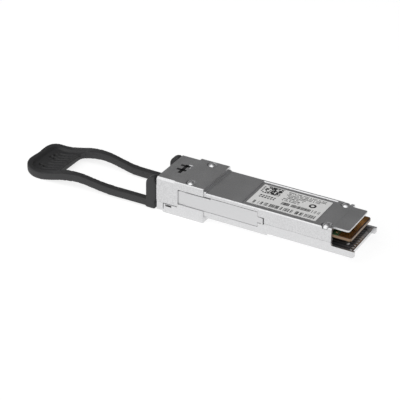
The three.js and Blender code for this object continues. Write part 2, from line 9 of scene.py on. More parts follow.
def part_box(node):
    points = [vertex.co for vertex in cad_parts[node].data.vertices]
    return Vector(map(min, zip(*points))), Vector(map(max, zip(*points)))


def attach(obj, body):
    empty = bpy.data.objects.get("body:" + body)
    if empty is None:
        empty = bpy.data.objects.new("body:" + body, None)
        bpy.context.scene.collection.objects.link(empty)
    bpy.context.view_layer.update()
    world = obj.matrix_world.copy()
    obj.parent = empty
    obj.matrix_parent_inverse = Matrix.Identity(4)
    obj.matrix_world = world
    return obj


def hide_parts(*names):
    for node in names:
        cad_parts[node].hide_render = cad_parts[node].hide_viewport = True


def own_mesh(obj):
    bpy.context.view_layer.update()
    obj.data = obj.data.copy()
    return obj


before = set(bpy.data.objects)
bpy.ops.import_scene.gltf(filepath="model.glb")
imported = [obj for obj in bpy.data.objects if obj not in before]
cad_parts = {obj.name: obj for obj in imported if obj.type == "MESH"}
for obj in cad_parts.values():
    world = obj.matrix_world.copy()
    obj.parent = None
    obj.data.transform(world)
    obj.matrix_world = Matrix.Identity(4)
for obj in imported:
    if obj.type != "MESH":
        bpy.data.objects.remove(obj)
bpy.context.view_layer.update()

# ---------------------------------------------------------------- camera, light table and softbox
# A long lens looks down at the card-edge end from the near side. The module lies on a white light table,
# which the upright faces mirror. The flat roofs mirror the dim ceiling, and rounded edges catch the softbox.

MM = 0.001
BOARD_HEIGHT = 5.0
head_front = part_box("bottom_housing")[0].x
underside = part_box("circuit_board")[0].z - BOARD_HEIGHT * MM


def at(x, y, z):
    """A place on the module, in mm: behind the head's front, off the middle, above the body's underside."""
    return Vector((head_front + x * MM, y * MM, underside + z * MM))


azimuth, elevation, roll = math.radians(28.6), math.radians(29.5), math.radians(0.83)
distance = 0.540
aim = at(11.56, 0, -0.39)
toward_camera = Vector((
    math.sin(azimuth) * math.cos(elevation),
    -math.cos(azimuth) * math.cos(elevation),
    math.sin(elevation),
))
level_right = Vector((math.cos(azimuth), math.sin(azimuth), 0))
level_up = toward_camera.cross(level_right)
right = level_right * math.cos(roll) + level_up * math.sin(roll)
up = level_up * math.cos(roll) - level_right * math.sin(roll)
camera_data = bpy.data.cameras.new("camera")
camera_data.sensor_width = 36
camera_data.lens = 143.9
camera_data.clip_start = 0.01
camera = bpy.data.objects.new("camera", camera_data)
camera.matrix_world = Matrix.Translation(aim + toward_camera * distance) @ Matrix(
    (right, up, toward_camera)).transposed().to_4x4()
bpy.context.scene.collection.objects.link(camera)
bpy.context.scene.camera = camera
bpy.context.scene.view_settings.view_transform = "Standard"


def colour(code):
    """An sRGB hex colour as linear RGBA."""
    values = [int(code[i:i + 2], 16) / 255 for i in (1, 3, 5)]
    return [v / 12.92 if v <= 0.04045 else ((v + 0.055) / 1.055) ** 2.4 for v in values] + [1.0]


def add_node(tree, kind, settings=None, links=None):
    """Adds a node, sets its properties and sockets, then joins its inputs to other nodes' outputs."""
    node = tree.nodes.new(kind)
    for key, value in (settings or {}).items():
        if isinstance(key, int) or key in node.inputs:
            node.inputs[key].default_value = value
        else:
            setattr(node, key, value)
    for key, source in (links or {}).items():
        tree.links.new(source, node.inputs[key])
    return node


def start_material(name):
    """A new material, its empty node tree, and the object coordinates that its patterns read."""
    material = bpy.data.materials.new(name)
    material.use_nodes = True
    tree = material.node_tree
    tree.nodes.clear()
    return material, tree, add_node(tree, "ShaderNodeTexCoord").outputs["Object"]


def close_material(tree, settings, links=None):
    """The surface shader, joined to the material's output."""
    shader = add_node(tree, "ShaderNodeBsdfPrincipled", settings, links)
    add_node(tree, "ShaderNodeOutputMaterial", links={"Surface": shader.outputs[0]})


# Opal acrylic over lamps: an even white that fills the shadows under the module.
opal_acrylic, tree, place = start_material("opal_acrylic_light_table")
close_material(tree, {
    "Base Color": colour("#a0a0a0"), "Roughness": 0.95, "Specular IOR Level": 0.1,
    "Emission Color": colour("#ffffff"), "Emission Strength": 0.80})
table_reach = 3.0
table_mesh = bpy.data.meshes.new("table")
table_corners = [(x * table_reach, y * table_reach, 0) for x, y in ((-1, -1), (1, -1), (1, 1), (-1, 1))]
table_mesh.from_pydata(table_corners, [], [(0, 1, 2, 3)])
table_mesh.materials.append(opal_acrylic)
table = bpy.data.objects.new("table", table_mesh)
bpy.context.scene.collection.objects.link(table)

# The room: white walls that glow just above the table, under a dim grey ceiling.
wall_glow, wall_top = 0.9, 0.06
ceiling_glow, ceiling_start = 0.178, 0.26
room = bpy.data.worlds.new("dim_room")
room.use_nodes = True
background = room.node_tree.nodes["Background"]
background.inputs["Color"].default_value = colour("#ffffff")
heading = add_node(room.node_tree, "ShaderNodeTexCoord").outputs["Generated"]
height = add_node(room.node_tree, "ShaderNodeSeparateXYZ", links={"Vector": heading})
glow = add_node(room.node_tree, "ShaderNodeMapRange", {
    "From Min": wall_top, "From Max": ceiling_start, "To Min": wall_glow, "To Max": ceiling_glow,
}, {"Value": height.outputs["Z"]})
room.node_tree.links.new(glow.outputs[0], background.inputs["Strength"])
bpy.context.scene.world = room

softbox_light = bpy.data.lights.new("softbox", "AREA")
softbox_light.size = 1.7
softbox_light.energy = 11.5
softbox = bpy.data.objects.new("softbox", softbox_light)
softbox.location = (-0.22, -0.62, 0.76)
softbox.rotation_euler = (softbox.location - aim).to_track_quat("Z", "Y").to_euler()
bpy.context.scene.collection.objects.link(softbox)

# ---------------------------------------------------------------- bottom housing
# The lower half of the casing: one zinc die casting, tumbled so that its edges are rounded, then plated with
# satin nickel. It holds the board, the ports and the latch strip, and the cover screws down on it.


def plated_casting(name, base, roughness, darkest):
    """Satin nickel over die-cast zinc. The blasted grain is 0.05 mm on the real part, and is drawn coarser
    here so that it shows. The gloss wanders a little, as plating over a tumbled casting does."""
    material, tree, place = start_material(name)
    grain_size, patch_size, ripple_size = 0.35, 6.0, 1.8
    grain = add_node(tree, "ShaderNodeTexNoise", {
        "Scale": 1 / (grain_size * MM), "Detail": 3.0, "Roughness": 0.6}, {"Vector": place})
    patches = add_node(tree, "ShaderNodeTexNoise", {
        "Scale": 1 / (patch_size * MM), "Detail": 4.0}, {"Vector": place})
    ripple = add_node(tree, "ShaderNodeTexNoise", {"Scale": 1 / (ripple_size * MM)}, {"Vector": place})
    gloss = add_node(tree, "ShaderNodeMapRange", {
        "From Min": 0.3, "From Max": 0.7, "To Min": roughness - 0.05, "To Max": roughness + 0.06,
    }, {"Value": patches.outputs[0]})
    speckle = add_node(tree, "ShaderNodeMapRange", {"From Min": 0.32, "From Max": 0.68}, {
        "Value": grain.outputs[0]})
    tint = add_node(tree, "ShaderNodeMix", {
        "data_type": "RGBA", 6: colour(darkest), 7: colour(base)}, {"Factor": speckle.outputs[0]})
    swell = add_node(tree, "ShaderNodeBump", {"Strength": 0.10, "Distance": 0.05 * MM}, {
        "Height": ripple.outputs[0]})
    grit = add_node(tree, "ShaderNodeBump", {"Strength": 0.12, "Distance": 0.02 * MM}, {
        "Height": grain.outputs[0], "Normal": swell.outputs[0]})
    close_material(tree, {"Metallic": 1.0}, {
        "Base Color": tint.outputs[2], "Roughness": gloss.outputs[0], "Normal": grit.outputs[0]})
    return material


def new_piece(name, mesh):
    """An object at the origin for a mesh, linked into the scene."""
    piece = bpy.data.objects.new(name, mesh)
    bpy.context.scene.collection.objects.link(piece)
    return piece


def apply_modifiers(piece):
    """Turns a piece's modifiers into plain mesh."""
    bpy.context.view_layer.update()
    evaluated = piece.evaluated_get(bpy.context.evaluated_depsgraph_get())
    mesh = bpy.data.meshes.new_from_object(evaluated)
    piece.modifiers.clear()
    piece.data = mesh


def shade(piece, material, sharp_degrees=30):
    """Gives a piece one material, and smooth shading except across sharp edges."""
    mesh = piece.data
    mesh.materials.clear()
    mesh.materials.append(material)
    mesh.polygons.foreach_set("material_index", [0] * len(mesh.polygons))
    mesh.polygons.foreach_set("use_smooth", [True] * len(mesh.polygons))
    mesh.set_sharp_from_angle(angle=math.radians(sharp_degrees))


def merged_copy(name, *nodes):
    """A new object with the joined, merged meshes of CAD nodes."""
    shape = bmesh.new()
    for node in nodes:
        shape.from_mesh(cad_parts[node].data)
    bmesh.ops.remove_doubles(shape, verts=shape.verts, dist=0.002 * MM)
    bmesh.ops.dissolve_limit(shape, angle_limit=math.radians(0.4), verts=shape.verts, edges=shape.edges)
    mesh = bpy.data.meshes.new(name)
    shape.to_mesh(mesh)
    shape.free()
    return new_piece(name, mesh)


def rounded_casting(name, node, radius, material, body="module", segments=2):
    """A CAD node's shape with its sharp edges rounded, standing for the node."""
    piece = merged_copy(name, node)
    bevel = piece.modifiers.new("edge_radius", "BEVEL")
    bevel.width = radius * MM
    bevel.segments = segments
    bevel.limit_method = "ANGLE"
    bevel.angle_limit = math.radians(32)
    apply_modifiers(piece)
    shade(piece, material)
    flat_faces = piece.modifiers.new("flat_faces", "WEIGHTED_NORMAL")
    flat_faces.keep_sharp = True
    flat_faces.weight = 100
    apply_modifiers(piece)
    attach(piece, body)
    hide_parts(node)
    return piece


satin_nickel = plated_casting("satin_nickel_plated_zinc_casting", "#dcdcdd", 0.36, "#cececf")
rounded_casting("finished_housing", "bottom_housing", 0.12, satin_nickel)

# Black sheet over the card-edge tray, painted shade: it stands for the floor that lies dark under the board.
# Its tone wanders with noise and is paler in bands along the tray's ribs.
shade_sheet_material, tree, place = start_material("black_painted_shade_sheet")
rib_pitch = 1.5
sheet_mottle = add_node(tree, "ShaderNodeTexNoise", {"Scale": 1 / (0.5 * MM), "Detail": 4.0}, {"Vector": place})
over_ribs = add_node(tree, "ShaderNodeTexWave", {
    "wave_type": "BANDS", "bands_direction": "Y", "Scale": math.pi / (10 * rib_pitch * MM), "Distortion": 1.0,
}, {"Vector": place})
gloss = add_node(tree, "ShaderNodeMapRange", {"To Min": 0.3, "To Max": 0.5}, {"Value": sheet_mottle.outputs[0]})
paler_bands = add_node(tree, "ShaderNodeMath", {"operation": "MULTIPLY"}, {
    0: sheet_mottle.outputs[0], 1: over_ribs.outputs["Fac"]})
tint = add_node(tree, "ShaderNodeMix", {
    "data_type": "RGBA", 6: colour("#333336"), 7: colour("#8a8a90")}, {"Factor": paler_bands.outputs[0]})
close_material(tree, {}, {"Base Color": tint.outputs[2], "Roughness": gloss.outputs[0]})

FLOOR_TOP = 1.1
film = {"start": 58.0, "end": 69.7, "half_width": 8.0, "thick": 0.2, "corner": 0.5, "corner_steps": 6}
film_outline = []
for quadrant, (end, side) in enumerate((("end", 1), ("start", 1), ("start", -1), ("end", -1))):
    centre_x = film[end] - film["corner"] if end == "end" else film[end] + film["corner"]
    centre_y = side * (film["half_width"] - film["corner"])
    for step in range(film["corner_steps"] + 1):
        angle = (quadrant + step / film["corner_steps"]) * math.pi / 2
        film_outline.append(
            (centre_x + film["corner"] * math.cos(angle), centre_y + film["corner"] * math.sin(angle)))
shape = bmesh.new()
sheet = shape.faces.new([shape.verts.new(at(x, y, FLOOR_TOP + 0.01)) for x, y in film_outline])
raised = bmesh.ops.extrude_face_region(shape, geom=[sheet])
bmesh.ops.translate(
    shape, vec=(0, 0, film["thick"] * MM),
    verts=[item for item in raised["geom"] if isinstance(item, bmesh.types.BMVert)])
bmesh.ops.recalc_face_normals(shape, faces=shape.faces)
film_mesh = bpy.data.meshes.new("painted_shade_sheet")
shape.to_mesh(film_mesh)
shape.free()
# The black sheet is painted shade laid over the tray floor.
painted_shade_sheet = new_piece("painted_shade_sheet", film_mesh)
shade(painted_shade_sheet, shade_sheet_material)
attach(painted_shade_sheet, "module")

# ---------------------------------------------------------------- latch strip and return springs
# One folded strip of bright spring steel: two arms in the side channels, a bridge under the ports and two
# lugs, each pushed back by a small coil spring of stainless wire that sits in a pocket of the housing.

# Rolled spring steel: long faint rolling lines along the arms, brighter than the casting round it.
rolled_steel, tree, place = start_material("cold_rolled_spring_steel")
line_width = 0.08
along_strip = add_node(tree, "ShaderNodeMapping", {"Scale": (0.02, 1.0, 1.0)}, {"Vector": place})
rolling = add_node(tree, "ShaderNodeTexNoise", {
    "Scale": 1 / (line_width * MM), "Detail": 2.0}, {"Vector": along_strip.outputs[0]})
gloss = add_node(tree, "ShaderNodeMapRange", {"To Min": 0.26, "To Max": 0.40}, {"Value": rolling.outputs[0]})
relief = add_node(tree, "ShaderNodeBump", {"Strength": 0.08, "Distance": 0.01 * MM}, {
    "Height": rolling.outputs[0]})
close_material(tree, {"Metallic": 1.0, "Base Color": colour("#cfcfd0")}, {
    "Roughness": gloss.outputs[0], "Normal": relief.outputs[0]})
rounded_casting("finished_latch_strip", "release_slider", 0.05, rolled_steel, body="release", segments=1)

# Drawn stainless wire: smooth and bright, with die lines too fine to see, so only its gloss varies.
drawn_wire, tree, place = start_material("drawn_stainless_spring_wire")
die_marks = add_node(tree, "ShaderNodeTexNoise", {"Scale": 1 / (0.1 * MM)}, {"Vector": place})
gloss = add_node(tree, "ShaderNodeMapRange", {"To Min": 0.2, "To Max": 0.34}, {"Value": die_marks.outputs[0]})
close_material(tree, {"Metallic": 1.0, "Base Color": colour("#d2d3d5")}, {"Roughness": gloss.outputs[0]})


def start_tree(name, sockets):
    """A Geometry Nodes tree with named inputs, given as name: socket kind."""
    tree = bpy.data.node_groups.new(name, "GeometryNodeTree")
    tree.interface.new_socket("Geometry", in_out="OUTPUT", socket_type="NodeSocketGeometry")
    for socket, kind in sockets.items():
        tree.interface.new_socket(socket, in_out="INPUT", socket_type="NodeSocket" + kind)
    return tree, tree.nodes.new("NodeGroupInput").outputs


def close_tree(tree, geometry, material):
    """Realizes the instances, sets the material and joins the tree's output."""
    real = add_node(tree, "GeometryNodeRealizeInstances", links={"Geometry": geometry})
    finished = add_node(tree, "GeometryNodeSetMaterial", links={
        "Geometry": real.outputs[0], "Material": material})
    add_node(tree, "NodeGroupOutput", links={"Geometry": finished.outputs[0]})


def grow(name, tree, values):
    """Runs a Geometry Nodes tree with these input values, and keeps the result as a plain mesh."""
    piece = new_piece(name, bpy.data.meshes.new(name))
    modifier = piece.modifiers.new(tree.name, "NODES")
    modifier.node_group = tree
    for socket in tree.interface.items_tree:
        if socket.in_out == "INPUT":
            modifier[socket.identifier] = values[socket.name]
    apply_modifiers(piece)
    return piece


coil_tree, given = start_tree("coil_spring", {
    "Start": "Vector", "Turns": "Float", "Length": "Float", "Radius": "Float", "Wire": "Float",
    "Finish": "Material"})
spiral = add_node(coil_tree, "GeometryNodeCurveSpiral", {"Resolution": 28}, {
    "Rotations": given["Turns"], "Start Radius": given["Radius"], "End Radius": given["Radius"],
    "Height": given["Length"]})
section = add_node(coil_tree, "GeometryNodeCurvePrimitiveCircle", {"Resolution": 10}, {
    "Radius": given["Wire"]})
wire_mesh = add_node(coil_tree, "GeometryNodeCurveToMesh", {"Fill Caps": True}, {
    "Curve": spiral.outputs[0], "Profile Curve": section.outputs[0]})
lying = add_node(coil_tree, "GeometryNodeTransform", {"Rotation": (0, math.pi / 2, 0)}, {
    "Geometry": wire_mesh.outputs[0], "Translation": given["Start"]})
close_tree(coil_tree, lying.outputs[0], given["Finish"])

spring_turns, wire_radius, tab_travel = 6.0, 0.15, 2.5
for side in ("near", "far"):
    low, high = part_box(side + "_return_spring")
    spring = grow(side + "_coil_spring", coil_tree, {
        "Start": Vector((low.x + wire_radius * MM, (low.y + high.y) / 2, (low.z + high.z) / 2)),
        "Turns": spring_turns,
        "Length": high.x - low.x - 2 * wire_radius * MM,
        "Radius": (high.y - low.y) / 2 - wire_radius * MM,
        "Wire": wire_radius * MM,
        "Finish": drawn_wire,
    })
    shade(spring, drawn_wire)
    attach(spring, "module")
    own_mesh(spring)
    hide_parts(side + "_return_spring")

# ---------------------------------------------------------------- fibre ports and optics
# A moulded receptacle takes two fibre plugs. Steel barrels with zirconia stubs sit behind it in a stamped
# clamp, each joined to a plated optical can, and amber flexible circuits carry the signals to the board.

# Glass-filled nylon: near black, with a faint stipple from the spark-eroded mould.
filled_nylon, tree, place = start_material("moulded_glass_filled_nylon")
stipple = add_node(tree, "ShaderNodeTexNoise", {"Scale": 1 / (0.15 * MM), "Detail": 2.0}, {"Vector": place})
tint = add_node(tree, "ShaderNodeMix", {
    "data_type": "RGBA", 6: colour("#1b1b1d"), 7: colour("#27272a")}, {"Factor": stipple.outputs[0]})
relief = add_node(tree, "ShaderNodeBump", {"Strength": 0.3, "Distance": 0.02 * MM}, {
    "Height": stipple.outputs[0]})
close_material(tree, {"Roughness": 0.5, "IOR": 1.53}, {
    "Base Color": tint.outputs[2], "Normal": relief.outputs[0]})
rounded_casting("finished_receptacle", "port_receptacle", 0.12, filled_nylon)


def soft_solid(name, light, dark, grain, settings):
    """A moulded or fired material whose shade wanders between two colours over a grain size."""
    material, tree, place = start_material(name)
    mottle = add_node(tree, "ShaderNodeTexNoise", {
        "Scale": 1 / (grain * MM), "Detail": 3.0}, {"Vector": place})
    tint = add_node(tree, "ShaderNodeMix", {
        "data_type": "RGBA", 6: colour(dark), 7: colour(light)}, {"Factor": mottle.outputs[0]})
    relief = add_node(tree, "ShaderNodeBump", {"Strength": 0.15, "Distance": 0.01 * MM}, {
        "Height": mottle.outputs[0]})
    close_material(tree, settings, {"Base Color": tint.outputs[2], "Normal": relief.outputs[0]})
    return material


def turned_metal(name, base, roughness, ring):
    """Turned or stamped metal: fine rings of changing gloss along the module's length."""
    material, tree, place = start_material(name)
    rings = add_node(tree, "ShaderNodeTexWave", {
        "wave_type": "BANDS", "bands_direction": "X", "Scale": 1 / (ring * MM * 20), "Distortion": 0.4,
    }, {"Vector": place})
    gloss = add_node(tree, "ShaderNodeMapRange", {
        "To Min": roughness - 0.06, "To Max": roughness + 0.06}, {"Value": rings.outputs["Fac"]})
    close_material(tree, {"Metallic": 1.0, "Base Color": colour(base)}, {"Roughness": gloss.outputs[0]})
    return material


def finish(material, *nodes):
    """Puts a material on CAD nodes whose shape needs no more work."""
    for node in nodes:
        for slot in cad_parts[node].material_slots:
            slot.material = material


finish(
    soft_solid("nickel_filled_silicone_gasket", "#63646a", "#4b4c50", 0.3, {"Roughness": 0.85}),
    "receptacle_gasket")
finish(turned_metal("turned_stainless_steel", "#cfd0d2", 0.28, 0.2), "transmit_barrel", "receive_barrel")
finish(
    soft_solid("polished_zirconia_ceramic", "#f2efe6", "#ebe7dc", 0.4, {"Roughness": 0.15, "IOR": 2.1}),
    "transmit_stub", "receive_stub")
finish(turned_metal("gold_plated_kovar", "#d9b25f", 0.30, 0.9), "transmit_subassembly")
finish(turned_metal("nickel_plated_kovar", "#c9c8c4", 0.30, 0.9), "receive_subassembly")
finish(turned_metal("stamped_stainless_clamp", "#bfc0c2", 0.34, 0.5), "barrel_clamp")
finish(
    soft_solid("amber_polyimide_film", "#b5651f", "#9a4f16", 0.8, {"Roughness": 0.35, "IOR": 1.7}),
    "transmit_flex", "receive_flex")

# ---------------------------------------------------------------- circuit board
# A glass-epoxy board with green solder mask and gold card-edge fingers on both faces. Reflow soldering holds
# its chips, inductors and rows of coupling capacitors. Silicone pads carry the heat up to the cover.

# Solder mask over woven glass: glossy green with a faint weave, amber bare laminate past the mask's end.
masked_laminate, tree, place = start_material("green_solder_mask_on_glass_epoxy")
weave_pitch, mask_end = 0.45, 66.0
axes = add_node(tree, "ShaderNodeSeparateXYZ", links={"Vector": place})
bare = add_node(tree, "ShaderNodeMapRange", {
    "From Min": at(mask_end, 0, 0).x, "From Max": at(mask_end + 0.1, 0, 0).x}, {"Value": axes.outputs["X"]})
normal = add_node(tree, "ShaderNodeNewGeometry").outputs["Normal"]
facing = add_node(tree, "ShaderNodeSeparateXYZ", links={"Vector": normal})
flat = add_node(tree, "ShaderNodeMath", {"operation": "ABSOLUTE"}, {0: facing.outputs["Z"]})
edge = add_node(tree, "ShaderNodeMapRange", {
    "From Min": 0.7, "From Max": 0.3}, {"Value": flat.outputs[0]})
weave = add_node(tree, "ShaderNodeTexChecker", {"Scale": 1 / (weave_pitch * MM)}, {"Vector": place})
mask_tint = add_node(tree, "ShaderNodeMix", {
    "data_type": "RGBA", 6: colour("#2c4a2c"), 7: colour("#355732")}, {"Factor": weave.outputs["Fac"]})
laminate_tint = add_node(tree, "ShaderNodeMix", {
    "data_type": "RGBA", 6: colour("#35231a"), 7: colour("#4a2f20")}, {"Factor": weave.outputs["Fac"]})
top_tint = add_node(tree, "ShaderNodeMix", {"data_type": "RGBA"}, {
    "Factor": bare.outputs[0], 6: mask_tint.outputs[2], 7: laminate_tint.outputs[2]})
board_tint = add_node(tree, "ShaderNodeMix", {"data_type": "RGBA", 7: colour("#7c6248")}, {
    "Factor": edge.outputs[0], 6: top_tint.outputs[2]})
close_material(tree, {"Roughness": 0.35, "IOR": 1.55}, {"Base Color": board_tint.outputs[2]})
rounded_casting("finished_board", "circuit_board", 0.06, masked_laminate, segments=1)

# Electroless gold over nickel: warm, bright and slightly brushed by wiping.
finger_gold, tree, place = start_material("hard_gold_plated_copper")
wipe = add_node(tree, "ShaderNodeTexNoise", {"Scale": 1 / (0.2 * MM), "Detail": 2.0}, {"Vector": place})
gloss = add_node(tree, "ShaderNodeMapRange", {"To Min": 0.22, "To Max": 0.38}, {"Value": wipe.outputs[0]})
close_material(tree, {"Metallic": 1.0, "Base Color": colour("#c98f45")}, {"Roughness": gloss.outputs[0]})

# A grid of small blocks: fingers, capacitors, printed bars. Some may be left out, and widths may vary.
block_tree, given = start_tree("grid_of_blocks", {
    "Start": "Vector", "Columns": "Int", "Rows": "Int", "Column Pitch": "Float", "Row Pitch": "Float",
    "Size": "Vector", "Narrowest": "Float", "Left Out": "Float", "Seed": "Int", "Finish": "Material"})
total = add_node(block_tree, "ShaderNodeMath", {"operation": "MULTIPLY"}, {
    0: given["Columns"], 1: given["Rows"]})
index = add_node(block_tree, "GeometryNodeInputIndex")
column = add_node(block_tree, "ShaderNodeMath", {"operation": "MODULO"}, {
    0: index.outputs[0], 1: given["Columns"]})
row_part = add_node(block_tree, "ShaderNodeMath", {"operation": "DIVIDE"}, {
    0: index.outputs[0], 1: given["Columns"]})
row = add_node(block_tree, "ShaderNodeMath", {"operation": "FLOOR"}, {0: row_part.outputs[0]})
across = add_node(block_tree, "ShaderNodeMath", {"operation": "MULTIPLY"}, {
    0: column.outputs[0], 1: given["Column Pitch"]})
along = add_node(block_tree, "ShaderNodeMath", {"operation": "MULTIPLY"}, {
    0: row.outputs[0], 1: given["Row Pitch"]})
step = add_node(block_tree, "ShaderNodeCombineXYZ", links={"X": across.outputs[0], "Y": along.outputs[0]})
spot = add_node(block_tree, "ShaderNodeVectorMath", {"operation": "ADD"}, {
    0: step.outputs[0], 1: given["Start"]})
spots = add_node(block_tree, "GeometryNodePoints", links={
    "Count": total.outputs[0], "Position": spot.outputs[0]})
dice = add_node(block_tree, "FunctionNodeRandomValue", {"data_type": "FLOAT"}, {"Seed": given["Seed"]})
missing = add_node(block_tree, "FunctionNodeCompare", {"data_type": "FLOAT", "operation": "LESS_THAN"}, {
    0: dice.outputs[1], 1: given["Left Out"]})
kept = add_node(block_tree, "GeometryNodeDeleteGeometry", links={
    "Geometry": spots.outputs[0], "Selection": missing.outputs[0]})
width = add_node(block_tree, "FunctionNodeRandomValue", {"data_type": "FLOAT", 3: 1.0}, {
    2: given["Narrowest"], "Seed": given["Seed"]})
stretch = add_node(block_tree, "ShaderNodeCombineXYZ", {"Y": 1.0, "Z": 1.0}, {"X": width.outputs[1]})
size = add_node(block_tree, "ShaderNodeVectorMath", {"operation": "MULTIPLY"}, {
    0: given["Size"], 1: stretch.outputs[0]})
block = add_node(block_tree, "GeometryNodeMeshCube", {"Size": (1.0, 1.0, 1.0)})
placed = add_node(block_tree, "GeometryNodeInstanceOnPoints", links={
    "Points": kept.outputs[0], "Instance": block.outputs[0], "Scale": size.outputs[0]})
close_tree(block_tree, placed.outputs[0], given["Finish"])


def blocks(name, material, start, size, columns, pitch, rows=1, row_pitch=1.0, narrowest=1.0, left_out=0.0,
           seed=1):
    """A grid of blocks: start is the first block's centre on the module, and all sizes are in mm."""
    piece = grow(name, block_tree, {
        "Start": at(*start), "Columns": columns, "Rows": rows, "Column Pitch": pitch * MM,
        "Row Pitch": row_pitch * MM, "Size": Vector(size) * MM, "Narrowest": narrowest,
        "Left Out": left_out, "Seed": seed, "Finish": material})
    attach(piece, "module")
    return piece


BOARD_TOP = 6.0
finger = {"count": 19, "pitch": 0.8, "width": 0.5, "start": 66.2, "end": 70.1, "thick": 0.05}
finger_middle = (finger["start"] + finger["end"]) / 2
first_finger = -(finger["count"] - 1) / 2 * finger["pitch"]
for node, side in (("top_contacts", 1), ("bottom_contacts", -1)):
    face = BOARD_TOP if side > 0 else BOARD_HEIGHT
    fingers = blocks(
        "gold_fingers_" + node.split("_")[0], finger_gold,
        (finger_middle, first_finger, face + side * (finger["thick"] / 2 + 0.01)),
        (finger["end"] - finger["start"], finger["width"], finger["thick"]),
        columns=1, pitch=1.0, rows=finger["count"], row_pitch=finger["pitch"])
    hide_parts(node)

capacitor_ceramic = soft_solid(
    "fired_capacitor_ceramic", "#a07c52", "#83613c", 0.2, {"Roughness": 0.45})
solder = soft_solid("reflowed_tin_solder", "#c9cacb", "#b4b5b7", 0.2, {"Roughness": 0.3, "Metallic": 1.0})
capacitor = {"count": 9, "pitch": 1.6, "length": 0.6, "width": 0.34, "height": 0.32, "x": 65.0}
first_capacitor = -(capacitor["count"] - 1) / 2 * capacitor["pitch"]
blocks(
    "coupling_capacitors", capacitor_ceramic,
    (capacitor["x"], first_capacitor, BOARD_TOP + capacitor["height"] / 2),
    (capacitor["length"], capacitor["width"], capacitor["height"]),
    columns=1, pitch=1.0, rows=capacitor["count"], row_pitch=capacitor["pitch"])
blocks(
    "capacitor_solder", solder,
    (capacitor["x"] - capacitor["length"] / 2, first_capacitor, BOARD_TOP + 0.1),
    (0.2, capacitor["width"] + 0.06, 0.2),
    columns=2, pitch=capacitor["length"], rows=capacitor["count"], row_pitch=capacitor["pitch"])
blocks(
    "signal_traces", finger_gold, (65.95, first_finger, BOARD_TOP + 0.01), (0.5, 0.2, 0.03),
    columns=1, pitch=1.0, rows=finger["count"], row_pitch=finger["pitch"])

finish(
    soft_solid("moulded_chip_epoxy", "#2a2a2d", "#1d1d20", 0.15, {"Roughness": 0.55}),
    "retimer_chip", "laser_driver", "receiver_amplifier", "microcontroller")
finish(
    soft_solid("pressed_ferrite", "#4e5054", "#393a3e", 0.3, {"Roughness": 0.6}),
    "transmit_inductor", "receive_inductor")
finish(
    soft_solid("ceramic_filled_silicone_pad", "#a9bfce", "#93a9b9", 0.5, {"Roughness": 0.9}),
    "retimer_pad", "optics_pad")

# ---------------------------------------------------------------- top cover
# The upper half of the casing, cast and plated like the lower one and with a bead-blasted roof. It carries a
# cast-in mark whose recess is filled with black painted shade, and two small raised bars.

blasted_nickel = plated_casting("bead_blasted_nickel_plated_casting", "#dcdcdd", 0.38, "#c4c4c5")
rounded_casting("finished_cover", "top_cover", 0.12, blasted_nickel)

FRONT_ROOF, MARK_DEPTH = 9.7, 0.45
# Black painted shade for the mark's recess, standing for the dark inside a deep cut.
mark_shade_paint = soft_solid("black_painted_shade_in_mark", "#0c0c0d", "#070708", 0.2, {"Roughness": 0.6})


def rounded_bars(name, bars, bottom, top, radius, material):
    """Bars with rounded edges on the module, from their (x, y) spans and one height span, in mm."""
    shape = bmesh.new()
    for (x0, x1), (y0, y1) in bars:
        middle = at((x0 + x1) / 2, (y0 + y1) / 2, (bottom + top) / 2)
        scale = Matrix.Diagonal(Vector((x1 - x0, y1 - y0, top - bottom)) * MM).to_4x4()
        bmesh.ops.create_cube(shape, size=1.0, matrix=Matrix.Translation(middle) @ scale)
    bmesh.ops.bevel(
        shape, geom=shape.edges, offset=radius * MM, segments=3, profile=0.5, affect="EDGES")
    mesh = bpy.data.meshes.new(name)
    shape.to_mesh(mesh)
    shape.free()
    piece = new_piece(name, mesh)
    shade(piece, material, 50)
    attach(piece, "module")
    return piece


# The black painted shade fills the mark's recess and laps a little over its edges.
overlap = 0.12
rounded_bars(
    "painted_shade_in_mark",
    [((4.5 - overlap, 5.5 + overlap), (-2.9 - overlap, 3.1 + overlap)),
     ((3 - overlap, 6.3 + overlap), (-1.1 - overlap, -0.2 + overlap)),
     ((3 - overlap, 6.3 + overlap), (1.9 - overlap, 2.7 + overlap))],
    FRONT_ROOF - MARK_DEPTH, FRONT_ROOF + 0.02, 0.02, mark_shade_paint)
rounded_bars(
    "raised_mark_bars", [((5.3, 7.4), (3.3, 4.0)), ((6.4, 7.7), (1.7, 2.4))],
    FRONT_ROOF - 0.1, FRONT_ROOF + 0.16, 0.12, satin_nickel)

# ---------------------------------------------------------------- screws
# Four cold-headed pan-head machine screws with cross recesses, bright nickel plated. Two clamp the head and
# two the card-edge end, each in a counterbore.

# Bright nickel on cold-headed steel: it throws clear highlights, softened by handling haze.
bright_nickel, tree, place = start_material("bright_nickel_plated_screw_steel")
haze = add_node(tree, "ShaderNodeTexNoise", {"Scale": 1 / (0.5 * MM), "Detail": 3.0}, {"Vector": place})
gloss = add_node(tree, "ShaderNodeMapRange", {"To Min": 0.26, "To Max": 0.4}, {"Value": haze.outputs[0]})
close_material(tree, {"Metallic": 1.0, "Base Color": colour("#dcdcdd")}, {"Roughness": gloss.outputs[0]})

